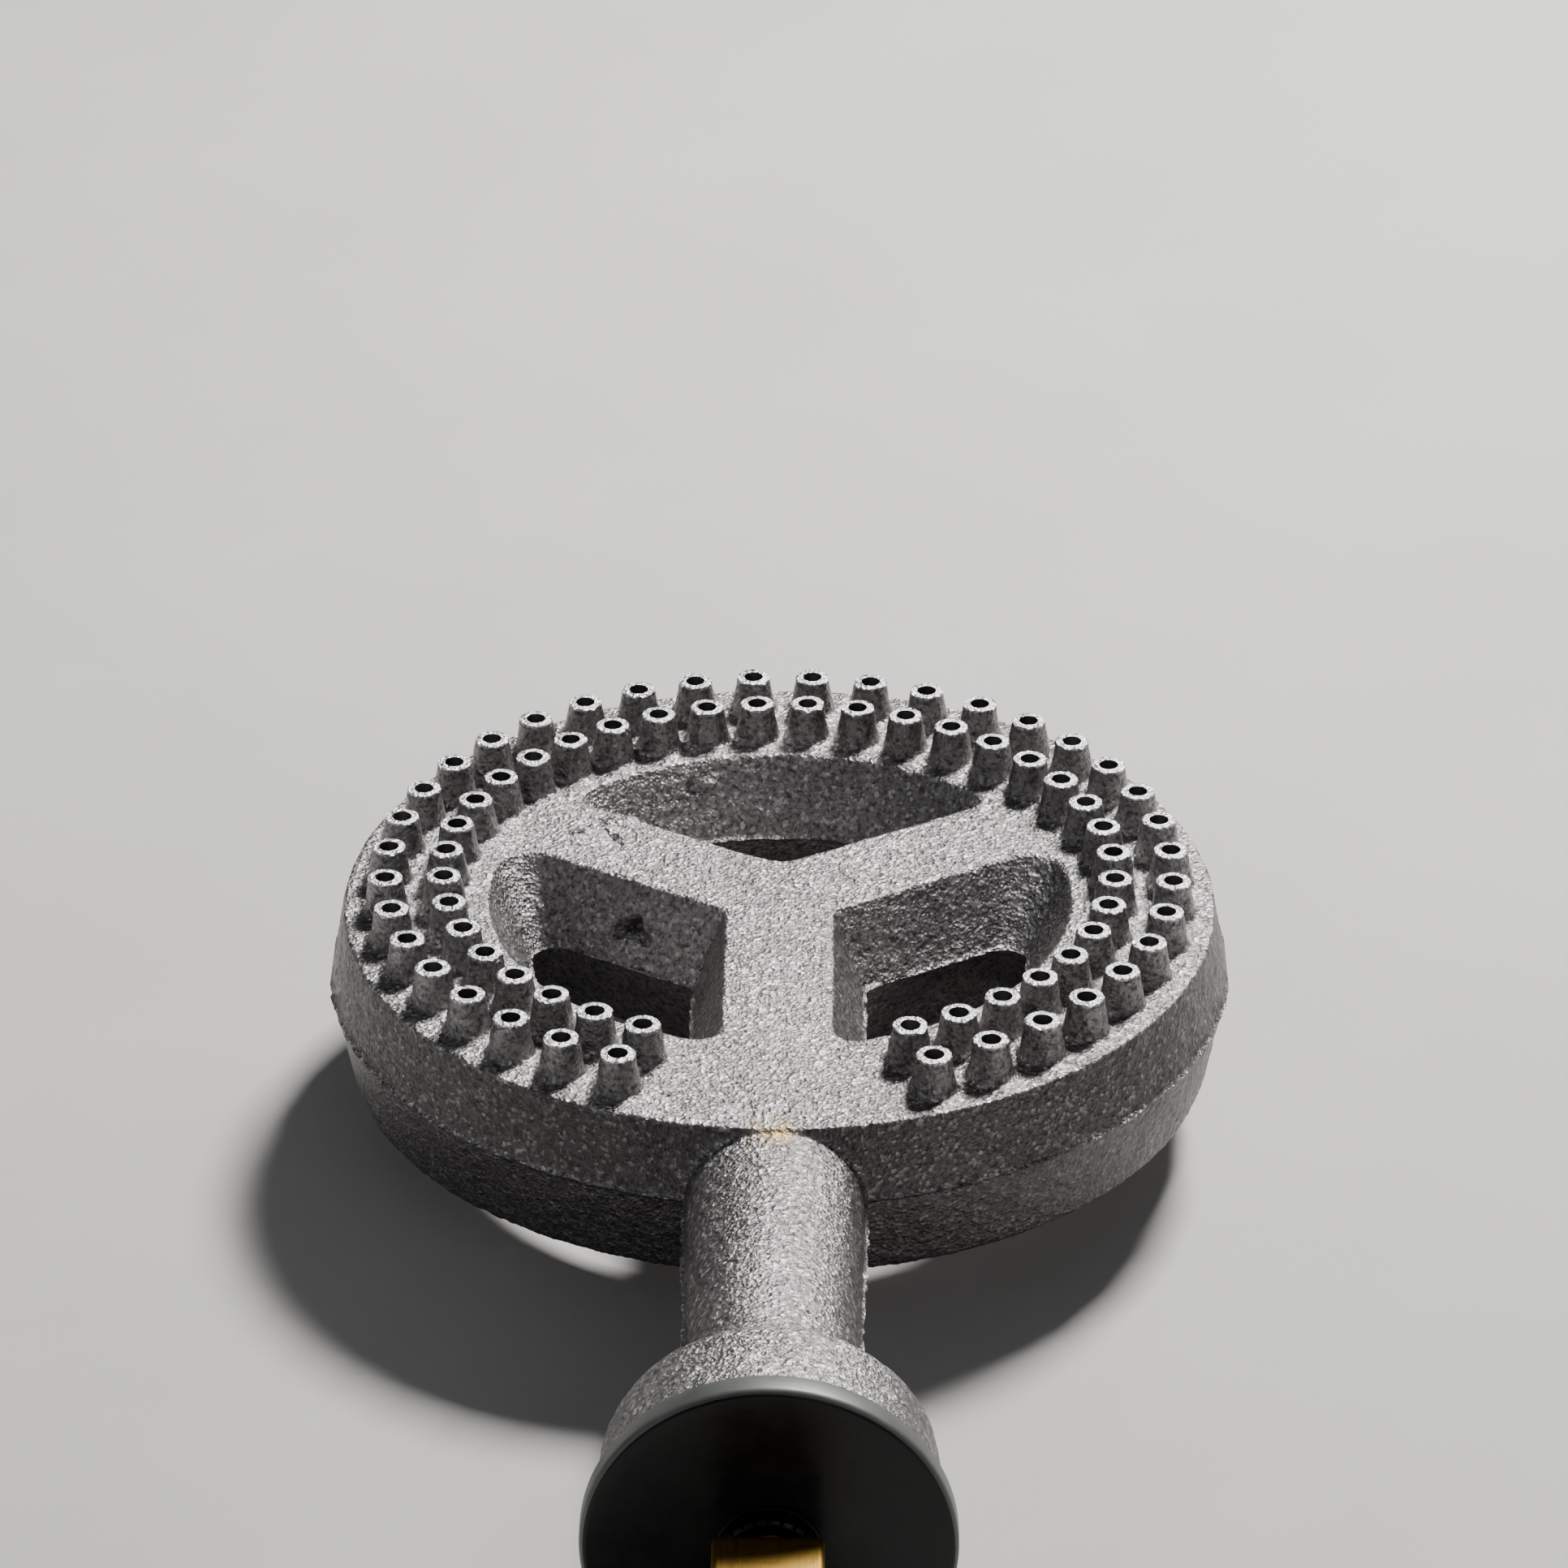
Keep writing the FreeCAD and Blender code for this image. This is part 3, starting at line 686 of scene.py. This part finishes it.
def refine_ports(obj):
    """Gives the port tips a finer mesh than the rest of the skin."""
    mesh = bmesh.new()
    mesh.from_mesh(obj.data)
    fine = {v for v in mesh.verts if v.co.z > PORT_ZONE_LOW and v.co.xy.length < PORT_ZONE_R}
    edges = [e for e in mesh.edges if e.verts[0] in fine and e.verts[1] in fine]
    bmesh.ops.subdivide_edges(mesh, edges=edges, cuts=1, use_grid_fill=True)
    mesh.to_mesh(obj.data)
    mesh.free()


def sharpen_ports(places):
    """Trues up the port tips that smoothing has rounded: flat lands and coned walls with a ragged rim."""
    in_zone = (np.linalg.norm(places[:, :2], axis=1) < PORT_ZONE_R) & (places[:, 2] > PORT_ZONE_LOW)
    high = np.flatnonzero(in_zone)
    away = places[high, None, :2] - np.array(port_places())[None]
    nearest = np.linalg.norm(away, axis=2).argmin(axis=1)
    away = away[np.arange(len(high)), nearest]
    radius = np.linalg.norm(away, axis=1)
    z = places[high, 2]
    ragged = noise_at(places[high], BURR_SIZE)
    slope = (PORT_BASE_R - PORT_LAND_R) / (PORT_TIP_Z - TOP_Z)
    wall_r = PORT_LAND_R + slope * (PORT_TIP_Z - z)
    near_tip = np.clip((z - PORT_TIP_Z + PORT_TRUED) / MM, 0, 1)
    wanted = wall_r + BURR_OUT * ragged * near_tip
    moved = np.where(radius > wall_r - PORT_SHARP, radius + near_tip * (wanted - radius), radius)
    places[high, :2] += away * (moved / np.maximum(radius, 0.1 * MM) - 1)[:, None]
    outside = np.clip((radius - PORT_HOLE_R) / MM, 0, 1)
    land = PORT_TIP_Z - BURR_DEPTH * outside * np.clip(0.4 + ragged, 0, 1)
    places[high, 2] = np.where(z > PORT_TIP_Z - PORT_SHARP, land, z)


def flash_at(places, normals, ragged):
    """How far the mould's flash stands out: a ragged line round the upright walls at the parting height."""
    near_parting = np.clip(1 - np.abs(places[:, 2] - AXIS_Z) / FLASH_HALF, 0, 1)
    flash = near_parting * np.clip(0.8 + 0.6 * ragged, 0.3, 1.2) * FLASH_OUT
    upright = np.hypot(normals[:, 0], normals[:, 1]) > UPRIGHT_SHARE
    return np.where(upright, flash, 0)


def roughened(obj):
    """Moves the skin's points as sand, lumps, flash and faults do, and keeps them inside the CAD box."""
    mesh = obj.data
    places = vertex_rows(mesh, "co")
    normals = vertex_rows(mesh, "normal")
    grain = noise_at(places, GRAIN_SIZE)
    lumps = noise_at(places, LUMP_SIZE, LUMP_OFFSET)
    ragged = noise_at(places, RAGGED_SIZE, RAGGED_OFFSET)
    shift = grain * GRAIN_DEPTH + lumps * LUMP_DEPTH - 0.5 * GRAIN_DEPTH
    shift += flash_at(places, normals, ragged)
    for centre, reach, depth in (*FAULTS, *scratches(), *crumbs()):
        away = np.linalg.norm(places - np.array(centre) * MM, axis=1) / (reach * MM)
        shift -= depth * MM * np.clip(1 - away**2, 0, 1) * np.clip(0.8 + ragged, 0.2, 1.5)
    places += normals * shift[:, None]
    sharpen_ports(places)
    places = np.clip(places, np.array(CAST_LOW) + BOX_MARGIN, np.array(CAST_HIGH) - BOX_MARGIN)
    mesh.vertices.foreach_set("co", places.astype(np.float32).ravel())
    mesh.update()


def build_casting():
    """The iron casting: its CAD shape given a cast skin, then drilled like the real one."""
    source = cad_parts["burner_casting"]
    body = add_object("cast_burner_body", source.data.copy())
    pins = joined_cylinders("pins", port_places(), PORT_PIN_R, TOP_Z - WALL, PORT_TIP_Z)
    join_meshes(body, pins)
    skin = body.modifiers.new("skin", "REMESH")
    skin.mode = "VOXEL"
    skin.voxel_size = SKIN_VOXEL
    relax = body.modifiers.new("relax", "SMOOTH")
    relax.factor = 0.5
    relax.iterations = SKIN_SMOOTHING
    applied(body)
    refine_ports(body)
    roughened(body)
    drills = joined_cylinders("drills", port_places(), PORT_HOLE_R, TOP_Z - 2 * WALL, PORT_TIP_Z + WALL, 40)
    for obj in (body, drills):
        dress(obj, materials["cast_iron"], materials["drilled_iron"])
    for face in drills.data.polygons:
        face.material_index = 1
    cut(body, drills)
    return shade_smooth(body, 50)


# ---------------------------------------------------------------- machined pieces


def build_disc():
    """Air shutter disc: a rounded bare rim and an enamelled face."""
    front, back = DISC_LOW.y, DISC_HIGH.y
    outer = (DISC_HIGH.x - DISC_LOW.x) / 2
    bore = SPUD_R + SLIDING_FIT
    front_edge = 1.6 * MM
    back_edge = 0.5 * MM
    back_arc = 0.15 * MM
    bore_edge = 0.4 * MM
    rows = [(back, bore), (back, outer - back_edge), (back - back_arc, outer - back_arc)]
    rows += [(back - back_edge, outer)]
    arc_steps = 8
    for step in range(arc_steps + 1):
        angle = math.pi / 2 * step / arc_steps
        y = front + front_edge - front_edge * math.sin(angle)
        rows.append((y, outer - front_edge + front_edge * math.cos(angle)))
    face_r = outer - front_edge
    rings = 10
    for ring in range(1, rings):
        share = ring / rings
        rows.append((front, face_r + (bore + 0.5 * MM - face_r) * share))
    rows += [(front, bore + bore_edge), (front + bore_edge, bore)]
    disc = turned("shutter_disc_enamelled", rows, 160)
    dress(disc, materials["satin_rim"], materials["black_enamel"])
    for face in disc.data.polygons:
        centre = face.center
        radius = math.hypot(centre.x, centre.z - AXIS_Z)
        on_face = centre.y < front + 0.2 * front_edge and radius < outer - 0.45 * front_edge
        on_back = centre.y > back - 0.1 * MM and radius < outer - 0.6 * MM
        face.material_index = 1 if on_face or on_back else 0
    return shade_smooth(disc)


def hexagon_rows(across_flats, rows, hex_rows):
    """A radius_at for turned(): the rows in hex_rows follow a hexagon whose corners are chamfered.

    hex_rows gives each such row's direction along Y in which the chamfer falls away.
    """

    def at(row, angle):
        y, radius = rows[row]
        if row not in hex_rows:
            return y, radius
        turn = (angle + math.pi / 6) % (math.pi / 3) - math.pi / 6
        hex_r = across_flats / 2 / math.cos(turn)
        drop = (hex_r - across_flats / 2) * math.tan(math.radians(30))
        return y + hex_rows[row] * drop, hex_r

    return at


def build_jam_nut():
    """Zinc hexagon nut behind the spider."""
    low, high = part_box("spud_jam_nut")
    across = high.z - low.z
    bore = SPUD_R + FIXED_FIT
    lead = 0.5 * MM
    face_r = across / 2 - 0.05 * MM
    rows = [(low.y + lead, bore), (low.y, bore + lead), (low.y, face_r), (low.y, across / 2)]
    rows += [(high.y, across / 2), (high.y, face_r), (high.y, bore + lead), (high.y - lead, bore)]
    nut = turned("jam_nut_hex", rows, 180, hexagon_rows(across, rows, {3: 1, 4: -1}))
    return shade_smooth(dress(nut, materials["zinc"]), 25)


def slit_tool(size, centre):
    """A leaning box that cuts a spring washer's slit: its back end stands higher than its front end."""
    slant = 0.6
    half = [0.5 * value for value in size]
    verts = []
    for x in (-half[0], half[0]):
        for y in (-half[1], half[1]):
            for z in (-half[2], half[2]):
                verts.append((centre[0] + x, centre[1] + y, centre[2] + z + y * slant))
    return add_object("slit", mesh_from("slit", verts, BOX_FACES))


def build_lock_washer():
    """Split spring washer, with a leaning slit between its two ends."""
    low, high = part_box("spud_lock_washer")
    outer = (high.x - low.x) / 2
    washer = turned("lock_washer_split", washer_section(low, high, SPUD_R + 0.1 * MM, 0.15 * MM), 96)
    slit_size = (outer, 1.8 * MM, 0.6 * MM)
    slit_middle = (outer / 2 + SPUD_R / 2, (low.y + high.y) / 2, AXIS_Z)
    cut(washer, slit_tool(slit_size, slit_middle))
    return shade_smooth(dress(washer, materials["zinc"]), 30)


def build_hood():
    """Brass orifice hood: hexagon, conical nose and metering hole."""
    low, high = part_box("orifice_hood")
    half = (high.z - low.z) / 2
    bore = SPUD_R + FIXED_FIT
    shoulder = low.y + 9.0 * MM
    rows = [(low.y + 0.5 * MM, bore), (low.y, bore + 0.3 * MM), (low.y, half)]
    rows += [(shoulder, half), (shoulder + 0.3 * MM, half - 0.4 * MM)]
    rows += [(high.y - 0.4 * MM, 3.0 * MM), (high.y, 2.5 * MM), (high.y, JET_R + 0.15 * MM)]
    rows += [(high.y - 0.2 * MM, JET_R), (high.y - 1.8 * MM, JET_R)]
    rows += [(low.y + 6.5 * MM, 4.6 * MM), (low.y + 6.2 * MM, bore)]
    hood = turned("orifice_hood_hex", rows, 180, hexagon_rows(2 * half, rows, {2: 1, 3: -1}))
    return shade_smooth(dress(hood, materials["brass"]), 25)


def build_spud(high_y):
    """The threaded spud, with the keyway along its underside."""
    radius = SPUD_R - 0.02 * MM
    start_y = BLOCK_BACK_Y - 1.5 * MM
    spud = threaded_bar("spud", radius, SPUD_PITCH, start_y, high_y, SPUD_THREAD, SPUD_RUN_OUT)
    keyway_low = (-KEYWAY_HALF, BLOCK_BACK_Y, AXIS_Z - SPUD_R - MM)
    keyway_high = (KEYWAY_HALF, DISC_HIGH.y + 3.5 * MM, AXIS_Z - SPUD_R + 1.0 * MM)
    return cut(spud, box_object("keyway", keyway_low, keyway_high))


def build_holder():
    """Brass orifice holder: square bar with rounded edges, a threaded spud and a threaded inlet."""
    low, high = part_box("orifice_holder")
    half = (high.x - low.x) / 2
    bar_high = (half, BLOCK_BACK_Y, AXIS_Z + half)
    block = box_object("orifice_holder_bar", (-half, low.y, AXIS_Z - half), bar_high)
    bevelled(block, BAR_EDGE, 5)
    inlet_end = low.y + INLET_DEPTH
    cut(block, threaded_bar("inlet", INLET_R, INLET_PITCH, low.y - 2 * MM, inlet_end, INLET_THREAD))
    mouth_r = INLET_R + 1.0 * MM
    cut(block, turned_cone("mouth", low.y - 0.5 * MM, mouth_r, low.y + 1.1 * MM, INLET_R - 0.6 * MM))
    plug_low, plug_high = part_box("pressure_tap_plug")
    tap_place = (0, (plug_low.y + plug_high.y) / 2)
    tap_r = (plug_high.x - plug_low.x) / 2 + 0.06 * MM
    cut(block, joined_cylinders("tap", [tap_place], tap_r, AXIS_Z - half - MM, plug_high.z, 48))
    cut(block, build_spud(high.y), "UNION")
    cut(block, turned_cone("bore", inlet_end - MM, GAS_BORE_R, high.y + MM, GAS_BORE_R, 64))
    return shade_smooth(dress(block, materials["brass"]), 32)


def build_socket_plug(node, piece, material, across_flats):
    """A flush plug with a hexagon socket that opens downwards, and a chamfered, rounded edge."""
    low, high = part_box(node)
    place = ((low.x + high.x) / 2, (low.y + high.y) / 2)
    radius = (high.x - low.x) / 2 - 0.03 * MM
    plug = joined_cylinders(piece, [place], radius, low.z, high.z, 64)
    bevelled(plug, 0.6 * MM, 3, 50)
    corner_r = across_flats / math.sqrt(3)
    cut(plug, joined_cylinders("socket", [place], corner_r, low.z - MM, low.z + SOCKET_DEPTH, 6))
    return shade_smooth(dress(plug, material), 30)


def build_tap_plug():
    """The brass plug of the pressure tap, under the bar."""
    return build_socket_plug("pressure_tap_plug", "tap_plug_socket", materials["brass"], TAP_PLUG_SOCKET)


def build_core_plug(side):
    """One of the steel plugs in the ring's underside."""
    node, piece = "core_plug_" + side, "plug_socket_" + side
    return build_socket_plug(node, piece, materials["plug"], CORE_PLUG_SOCKET)


def build_key_washer():
    """The washer between disc and lock nut, with a key in the spud's keyway."""
    low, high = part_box("shutter_key_washer")
    washer = turned("key_washer_ring", washer_section(low, high, SPUD_R + SLIDING_FIT, 0.18 * MM), 96)
    key_low = (-KEY_HALF, low.y + 0.1 * MM, AXIS_Z - SPUD_R - MM)
    key_high = (KEY_HALF, high.y - 0.1 * MM, AXIS_Z - SPUD_R + 0.9 * MM)
    cut(washer, box_object("key", key_low, key_high), "UNION")
    return shade_smooth(dress(washer, materials["black_oxide"]), 30)


def build_lock_nut():
    """Round nut with a fluted edge."""
    low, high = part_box("shutter_lock_nut")
    outer = (high.z - low.z) / 2
    bore = SPUD_R + SLIDING_FIT
    chamfer = 0.5 * MM
    lead = 0.4 * MM
    flutes = 24
    flute_depth = 0.55 * MM
    rows = [(low.y + lead, bore), (low.y, bore + lead), (low.y, outer - chamfer - 0.1 * MM)]
    rows += [(low.y + 0.1 * MM, outer - chamfer), (low.y + chamfer, outer), (high.y - chamfer, outer)]
    rows += [(high.y, outer - chamfer), (high.y, bore + lead), (high.y - lead, bore)]

    def fluted(row, angle):
        y, radius = rows[row]
        if radius == outer:
            groove = max(0.0, math.cos(flutes * angle) - 0.35) / 0.65
            radius -= flute_depth * groove
        return y, radius

    nut = turned("shutter_nut_fluted", rows, flutes * 16, fluted)
    return shade_smooth(dress(nut, materials["black_oxide"]), 30)


# ---------------------------------------------------------------- floor, lights and camera


def build_floor():
    """A pale floor that turns up into a backdrop far behind the object."""
    lowest = min(DISC_LOW.z, CAST_LOW.z) - FLOOR_GAP
    bend_start = BACKDROP_Y - BACKDROP_BEND_R
    profile = [(FLOOR_FRONT_Y, lowest), (bend_start, lowest)]
    for step in range(1, BACKDROP_BEND_STEPS + 1):
        angle = math.pi / 2 * step / BACKDROP_BEND_STEPS
        rise = BACKDROP_BEND_R - BACKDROP_BEND_R * math.cos(angle)
        profile.append((bend_start + BACKDROP_BEND_R * math.sin(angle), lowest + rise))
    profile.append((BACKDROP_Y, lowest + BACKDROP_HEIGHT))
    verts = [(x, y, z) for x in (-FLOOR_HALF_WIDTH, FLOOR_HALF_WIDTH) for y, z in profile]
    count = len(profile)
    faces = [(i, i + count, i + count + 1, i + 1) for i in range(count - 1)]
    floor = add_object("floor", mesh_from("floor", verts, faces))
    floor.data.shade_smooth()
    dress(floor, materials["floor"])


def add_area_light(name, place, target, size, power, color=(1, 1, 1)):
    data = bpy.data.lights.new(name, "AREA")
    data.shape = "RECTANGLE"
    data.size, data.size_y = size
    data.energy = power
    data.color = color
    light = add_object(name, data)
    light.location = place
    light.rotation_euler = (Vector(target) - Vector(place)).to_track_quat("-Z", "Y").to_euler()


def build_lights():
    """A small high key light behind the ring, two weak fills in front, and a dim pale world."""
    middle = (0, -0.06, AXIS_Z)
    add_area_light("key", (0.45, 0.79, 1.18), middle, (0.32, 0.26), 57.0, (1.0, 0.985, 0.97))
    add_area_light("fill_left", (-1.3, -0.6, 0.8), middle, (1.0, 0.9), 1.5, (0.93, 0.96, 1.0))
    add_area_light("fill_front", (0.7, -1.6, 0.9), middle, (1.0, 0.8), 2.4)
    world = bpy.data.worlds.new("studio")
    world.use_nodes = True
    background = world.node_tree.nodes["Background"]
    background.inputs["Color"].default_value = rgb(0.80, 0.82, 0.85)
    background.inputs["Strength"].default_value = 0.14
    bpy.context.scene.world = world


def build_camera():
    """A long lens, aimed level with the port tips from the front and above."""
    level = math.cos(CAMERA_ELEVATION)
    sideways, forwards = math.sin(CAMERA_AZIMUTH), math.cos(CAMERA_AZIMUTH)
    back = Vector((sideways * level, -forwards * level, math.sin(CAMERA_ELEVATION)))
    right = Vector((forwards, sideways, 0))
    up = back.cross(right)
    data = bpy.data.cameras.new("camera")
    data.sensor_width = 36
    data.lens = CAMERA_LENS
    data.clip_start = 0.05
    camera = add_object("camera", data)
    eye = Vector((0, 0, PORT_TIP_Z)) + back * CAMERA_DISTANCE
    camera.location = eye + right * CAMERA_RIGHT + up * CAMERA_UP
    camera.rotation_mode = "QUATERNION"
    camera.rotation_quaternion = back.to_track_quat("Z", "Y")
    bpy.context.scene.camera = camera


# ---------------------------------------------------------------- the whole scene


materials = {
    "cast_iron": cast_iron_material(),
    "drilled_iron": drilled_material(),
    "brass": brass_material(),
    "zinc": plated_material("zinc_steel", rgb(0.40, 0.41, 0.42), rgb(0.62, 0.63, 0.62), 0.25, 0.42),
    "plug": plated_material("plug_steel", rgb(0.16, 0.155, 0.15), rgb(0.30, 0.29, 0.28), 0.35, 0.5),
    "black_oxide": plated_material(
        "black_oxide", rgb(0.012, 0.012, 0.013), rgb(0.03, 0.03, 0.032), 0.28, 0.45
    ),
    "black_enamel": enamel_material(),
    "satin_rim": rim_material(),
    "floor": floor_material(),
}

build_floor()
build_lights()
build_camera()

# Each piece with its body, the CAD node it replaces, and its material slot
pieces = [
    (build_casting(), "burner", "burner_casting", "grey_iron"),
    (build_holder(), "burner", "orifice_holder", "brass"),
    (build_hood(), "burner", "orifice_hood", "brass"),
    (build_tap_plug(), "burner", "pressure_tap_plug", "brass"),
    (build_jam_nut(), "burner", "spud_jam_nut", "zinc_steel"),
    (build_lock_washer(), "burner", "spud_lock_washer", "zinc_steel"),
    (build_disc(), "shutter", "air_shutter_disc", "shutter_enamel"),
    (build_lock_nut(), "shutter", "shutter_lock_nut", "black_oxide"),
    (build_key_washer(), "shutter_carrier", "shutter_key_washer", "black_oxide"),
]
for side in ("rear", "left", "right"):
    pieces.append((build_core_plug(side), "burner", "core_plug_" + side, "plug_steel"))

for piece, body, node, slot in pieces:
    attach(piece, body)
    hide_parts(node)
